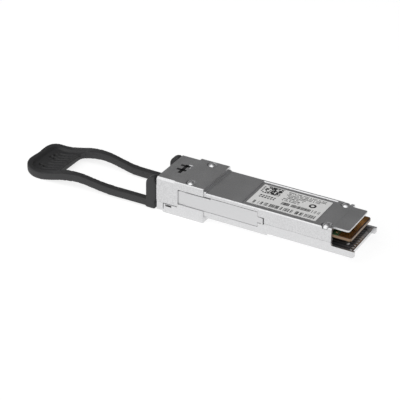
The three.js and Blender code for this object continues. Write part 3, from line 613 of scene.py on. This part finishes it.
screw_tree, given = start_tree("pair_of_pan_head_screws", {
    "Near Seat": "Vector", "Spacing": "Vector", "Head": "Vector", "Seat Block": "Vector",
    "Drive": "Vector", "Cross Drive": "Vector", "Drive Height": "Vector", "Shank Radius": "Float",
    "Shank Length": "Float", "Finish": "Material"})
ball = add_node(screw_tree, "GeometryNodeMeshUVSphere", {"Segments": 48, "Rings": 24, "Radius": 1.0})
dome = add_node(screw_tree, "GeometryNodeTransform", links={
    "Geometry": ball.outputs[0], "Scale": given["Head"]})
below = add_node(screw_tree, "ShaderNodeVectorMath", {"operation": "MULTIPLY", 1: (0.0, 0.0, -0.5)}, {
    0: given["Seat Block"]})
seat_block = add_node(screw_tree, "GeometryNodeMeshCube", links={"Size": given["Seat Block"]})
seat_cut = add_node(screw_tree, "GeometryNodeTransform", links={
    "Geometry": seat_block.outputs[0], "Translation": below.outputs[0]})
drives = []
for direction in ("Drive", "Cross Drive"):
    bar = add_node(screw_tree, "GeometryNodeMeshCube", links={"Size": given[direction]})
    drives.append(add_node(screw_tree, "GeometryNodeTransform", links={
        "Geometry": bar.outputs[0], "Translation": given["Drive Height"]}))
head_shape = add_node(screw_tree, "GeometryNodeMeshBoolean", {
    "operation": "DIFFERENCE", "solver": "EXACT", "Self Intersection": True}, {"Mesh 1": dome.outputs[0]})
for cutter in (seat_cut, *drives):
    screw_tree.links.new(cutter.outputs[0], head_shape.inputs["Mesh 2"])
shank = add_node(screw_tree, "GeometryNodeMeshCylinder", {"Vertices": 20}, {
    "Radius": given["Shank Radius"], "Depth": given["Shank Length"]})
drop = add_node(screw_tree, "ShaderNodeMath", {"operation": "MULTIPLY", 1: -0.49}, {
    0: given["Shank Length"]})
drop_by = add_node(screw_tree, "ShaderNodeCombineXYZ", links={"Z": drop.outputs[0]})
hung_shank = add_node(screw_tree, "GeometryNodeTransform", links={
    "Geometry": shank.outputs[0], "Translation": drop_by.outputs[0]})
whole = add_node(screw_tree, "GeometryNodeMeshBoolean", {"operation": "UNION", "solver": "EXACT"})
for part in (head_shape, hung_shank):
    screw_tree.links.new(part.outputs[0], whole.inputs["Mesh 2"])
seats = add_node(screw_tree, "GeometryNodeMeshLine", {"Count": 2}, {
    "Start Location": given["Near Seat"], "Offset": given["Spacing"]})
drive_turn = math.radians(35)
fitted = add_node(screw_tree, "GeometryNodeInstanceOnPoints", {
    "Scale": (MM, MM, MM), "Rotation": (0.0, 0.0, drive_turn)}, {
    "Points": seats.outputs[0], "Instance": whole.outputs[0]})
close_tree(screw_tree, fitted.outputs[0], given["Finish"])

screw_pairs = {
    "head": {"x": 12.2, "y": 7.3, "seat": 9.15, "top": 10.45, "radius": 1.6, "shank": 0.65, "end": 2.65},
    "nose": {"x": 61.8, "y": 7.45, "seat": 7.75, "top": 9.0, "radius": 1.65, "shank": 0.8, "end": 1.65},
}
for name, s in screw_pairs.items():
    rise = s["top"] - s["seat"]
    drive_length, drive_width = s["radius"] * 1.15, s["radius"] * 0.3
    pair = grow(name + "_screws", screw_tree, {
        "Near Seat": at(s["x"], -s["y"], s["seat"]),
        "Spacing": Vector((0, 2 * s["y"], 0)) * MM,
        "Head": Vector((s["radius"], s["radius"], rise)),
        "Seat Block": Vector((4, 4, 4)),
        "Drive": Vector((drive_length, drive_width, rise)),
        "Cross Drive": Vector((drive_width, drive_length, rise)),
        "Drive Height": Vector((0, 0, rise * 0.9)),
        "Shank Radius": s["shank"],
        "Shank Length": s["seat"] - s["end"],
        "Finish": bright_nickel,
    })
    shade(pair, bright_nickel)
    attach(pair, "module")
    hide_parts("near_" + name + "_screw", "far_" + name + "_screw")

# ---------------------------------------------------------------- label
# A polyester label, thermally printed in black and stuck in the cover's shallow well. Its print is generic:
# a block code, two rows of bars, lines of short dashes and a ring.

label_polyester = soft_solid("matt_polyester_label", "#fafaf9", "#f2f2f1", 0.4, {"Roughness": 0.55})
rounded_casting("finished_label", "label", 0.03, label_polyester, segments=1)
print_ink = soft_solid("thermal_transfer_ink", "#2c2c2e", "#1a1a1b", 0.3, {"Roughness": 0.5})
label_top, INK = (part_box("label")[1].z - underside) / MM, 0.02
ink_height = label_top + INK / 2
blocks(
    "block_code", print_ink, (34.2, 1.9, ink_height), (0.44, 0.44, INK), columns=14, pitch=0.44,
    rows=10, row_pitch=0.44, left_out=0.45, seed=4)
blocks(
    "block_code_frame", print_ink, (37.1, 1.55, ink_height), (6.4, 0.2, INK), columns=1, pitch=1.0, rows=2,
    row_pitch=4.7)
blocks(
    "margin_marks", print_ink, (33.4, 2.4, ink_height), (0.5, 0.55, INK), columns=1, pitch=1.0, rows=4,
    row_pitch=0.95)
blocks(
    "maker_dots", print_ink, (34.6, -0.2, ink_height), (0.75, 0.6, INK), columns=6, pitch=1.0, rows=2,
    row_pitch=-1.1, narrowest=0.6, left_out=0.15, seed=3)
blocks(
    "serial_bars", print_ink, (34.4, -5.2, ink_height), (0.36, 2.0, INK), columns=54, pitch=0.42,
    narrowest=0.3, left_out=0.2, seed=7)
blocks(
    "part_bars", print_ink, (43.0, -1.9, ink_height), (0.36, 1.7, INK), columns=33, pitch=0.42,
    narrowest=0.3, left_out=0.2, seed=11)
text_rows = [(5.7, 0, 32), (4.8, 1, 32), (3.9, 0, 28), (3.0, 2, 15), (2.1, 1, 15), (1.2, 0, 14), (0.2, 0, 14)]
for i, (y, indent, columns) in enumerate(text_rows):
    blocks(
        f"print_line_{i + 1}", print_ink, (42.2 + indent * 0.42, y, ink_height), (0.36, 0.52, INK),
        columns=columns, pitch=0.43, narrowest=0.45, left_out=0.2, seed=20 + i)


def ring(name, material, centre, outer, inner, height):
    """A flat printed ring on the module, in mm."""
    steps = 40
    shape = bmesh.new()
    loops = []
    for radius, level in ((outer, 0), (outer, height), (inner, height), (inner, 0)):
        loops.append([shape.verts.new(at(
            centre[0] + radius * math.cos(2 * math.pi * i / steps),
            centre[1] + radius * math.sin(2 * math.pi * i / steps),
            centre[2] + level)) for i in range(steps)])
    for loop, after in zip(loops, loops[1:] + loops[:1]):
        for i in range(steps):
            j = (i + 1) % steps
            shape.faces.new((loop[i], loop[j], after[j], after[i]))
    bmesh.ops.recalc_face_normals(shape, faces=shape.faces)
    mesh = bpy.data.meshes.new(name)
    shape.to_mesh(mesh)
    shape.free()
    piece = new_piece(name, mesh)
    shade(piece, material)
    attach(piece, "module")


ring("printed_ring", print_ink, (52.6, 1.3, label_top), 1.25, 0.6, INK)

# ---------------------------------------------------------------- pull tab
# A long loop of dark thermoplastic rubber, moulded over the ends of the latch strip. Its grip is a dished pad
# with soft ridges along it and a few pin marks, inside a raised rim.

# Thermoplastic rubber: charcoal and matt, with the fine even texture of an etched mould.
matt_rubber, tree, place = start_material("matt_moulded_thermoplastic_rubber")
texture_size, flow_size = 0.22, 5.0
texture = add_node(tree, "ShaderNodeTexNoise", {
    "Scale": 1 / (texture_size * MM), "Detail": 3.0}, {"Vector": place})
flow = add_node(tree, "ShaderNodeTexNoise", {"Scale": 1 / (flow_size * MM), "Detail": 2.0}, {"Vector": place})
shade_share = add_node(tree, "ShaderNodeMath", {"operation": "ADD"}, {
    0: texture.outputs[0], 1: flow.outputs[0]})
half_share = add_node(tree, "ShaderNodeMath", {"operation": "MULTIPLY", 1: 0.5}, {0: shade_share.outputs[0]})
tint = add_node(tree, "ShaderNodeMix", {
    "data_type": "RGBA", 6: colour("#2c2c2d"), 7: colour("#3b3b3c")}, {"Factor": half_share.outputs[0]})
gloss = add_node(tree, "ShaderNodeMapRange", {"To Min": 0.5, "To Max": 0.66}, {"Value": flow.outputs[0]})
relief = add_node(tree, "ShaderNodeBump", {"Strength": 0.25, "Distance": 0.03 * MM}, {
    "Height": texture.outputs[0]})
close_material(tree, {"Specular IOR Level": 0.35, "IOR": 1.5}, {
    "Base Color": tint.outputs[2], "Roughness": gloss.outputs[0], "Normal": relief.outputs[0]})

# The rubber is moulded right round the latch arms, so a block on each side fills the room left for them.
tab = merged_copy("moulded_pull_tab", "pull_tab")
arm_room = ((-3.6, -0.45), (8.3, 9.3), (0.7, 7.3))
middle = [(low + high) / 2 for low, high in arm_room]
arm_block = Matrix.Diagonal(Vector([high - low for low, high in arm_room]) * MM).to_4x4()
shape = bmesh.new()
shape.from_mesh(tab.data)
for side in (-1, 1):
    centre = Matrix.Translation(at(middle[0], side * middle[1], middle[2]))
    bmesh.ops.create_cube(shape, size=1.0, matrix=centre @ arm_block)
shape.to_mesh(tab.data)
shape.free()
cells = tab.modifiers.new("mould_cells", "REMESH")
cells.mode = "VOXEL"
cells.voxel_size = 0.23 * MM
cells.use_smooth_shade = True
soft_edges = tab.modifiers.new("soft_edges", "SMOOTH")
soft_edges.factor = 0.5
soft_edges.iterations = 7
regrown = tab.modifiers.new("regrown_skin", "DISPLACE")
regrown.strength = 0.16 * MM
regrown.mid_level = 0.0
apply_modifiers(tab)

# The grip's relief: a dish open towards the arms, ridges along it that sway a little, and ejector pin marks.
dish = {"start": -52.8, "fade": -41.5, "end": -39.0, "half_width": 8.7, "corner": 4.0, "depth": 0.4}
dish_wall = (0.2, 0.9)
ridge = {"pitch": 1.95, "height": 0.36, "start": -49.0, "end": -41.0, "reach": 7.0, "rise": 1.0, "fall": 1.2}
sway_width, sway_rate = 0.25, 0.9
pin_marks = [(-49.9, 2.0), (-49.4, 3.9), (-48.3, 1.85), (-49.9, -4.55), (-48.3, -4.55)]
pin_radius, pin_depth, pin_margin = 0.75, 0.9, 0.4
upward = 0.3


def ease(value, low, high):
    """0 below low, 1 above high, and a smooth rise between."""
    t = min(max((value - low) / (high - low), 0), 1)
    return t * t * (3 - 2 * t)


def grip_relief(x, y):
    """How far the grip's top face stands above the plain sheet, in mm."""
    corner_x = dish["start"] + dish["corner"] - x
    corner_y = abs(y) - dish["half_width"] + dish["corner"]
    from_rim = dish["corner"] - math.hypot(max(corner_x, 0), max(corner_y, 0))
    inside = ease(from_rim, *dish_wall) * (1 - ease(x, dish["fade"], dish["end"]))
    from_pins = min(math.hypot(x - px, y - py) for px, py in pin_marks)
    pins = 1 - ease(from_pins, pin_radius * 0.5, pin_radius)
    lead_in = ease(x, ridge["start"], ridge["start"] + ridge["rise"])
    run_out = 1 - ease(x, ridge["end"] - ridge["fall"], ridge["end"])
    off_sides = ease(ridge["reach"] - abs(y), 0, ridge["fall"])
    off_pins = ease(from_pins, pin_radius, pin_radius + pin_margin)
    sway = sway_width * math.sin((x - ridge["start"]) * sway_rate)
    crest = max(math.cos(2 * math.pi * (y + sway) / ridge["pitch"]), 0) ** 3
    ridges = lead_in * run_out * off_sides * off_pins * ridge["height"] * crest
    return ridges - inside * dish["depth"] - pins * pin_depth


origin = at(0, 0, 0)
spots = [vertex.co.copy() for vertex in tab.data.vertices]
faces_up = [vertex.normal.z > upward for vertex in tab.data.vertices]
for spot, on_top in zip(spots, faces_up):
    x, y = (spot.x - origin.x) / MM, (spot.y - origin.y) / MM
    if on_top and dish["start"] < x < dish["end"]:
        spot.z += grip_relief(x, y) * MM
    spot.z = max(spot.z, 0)
tab.data.vertices.foreach_set("co", [value for spot in spots for value in spot])
tab.data.update()
shade(tab, matt_rubber, sharp_degrees=60)
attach(tab, "release")
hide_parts("pull_tab")
